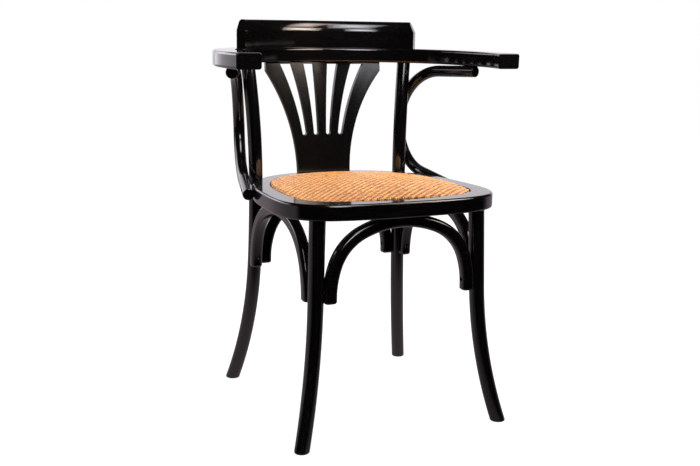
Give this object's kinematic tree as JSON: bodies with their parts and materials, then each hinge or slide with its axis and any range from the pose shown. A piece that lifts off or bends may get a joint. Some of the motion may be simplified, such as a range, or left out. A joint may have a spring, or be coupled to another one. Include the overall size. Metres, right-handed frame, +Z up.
{
  "type": "dining armchair",
  "caption": "Bentwood dining armchair with sabre legs, arched braces, a horseshoe arm rail, a slotted fan splat and a woven rattan seat panel.",
  "frame": {"origin": "on the floor under the middle of the chair's bounding box", "axes": "+Z up from the floor, +Y towards the chair's back, +X towards the right when seen from the front"},
  "size_m": [0.6022, 0.4868, 0.7823],
  "materials": {
    "black_lacquer": "black gloss lacquer over open-grained elm",
    "woven_rattan": "honey-coloured split cane in a close twill weave, satin",
    "bare_plywood": "bare plywood",
    "pad_felt": "pressed felt pad",
    "steel": "dark plated steel",
    "beech_dowel": "bare beech"
  },
  "bodies": {
    "root": {"seat_ring": "black_lacquer", "front_leg_left": "black_lacquer", "front_leg_right": "black_lacquer", "rear_post_left": "black_lacquer", "rear_post_right": "black_lacquer", "front_arch": "black_lacquer", "rear_arch": "black_lacquer", "left_arch": "black_lacquer", "right_arch": "black_lacquer", "back_rail": "black_lacquer", "left_arm": "black_lacquer", "right_arm": "black_lacquer", "crest_board": "black_lacquer", "back_splat": "black_lacquer", "left_arm_bow": "black_lacquer", "right_arm_bow": "black_lacquer", "rattan_cover": "woven_rattan", "seat_board": "bare_plywood", "seat_pad": "pad_felt", "arch_leg_screws": "steel", "arch_seat_screws": "steel", "seat_board_screws": "steel", "seat_bolts": "steel", "bow_arm_screws": "steel", "bow_seat_screws": "steel", "arm_joint_dowels": "beech_dowel", "crest_dowels": "beech_dowel"}
  },
  "joints": []
}
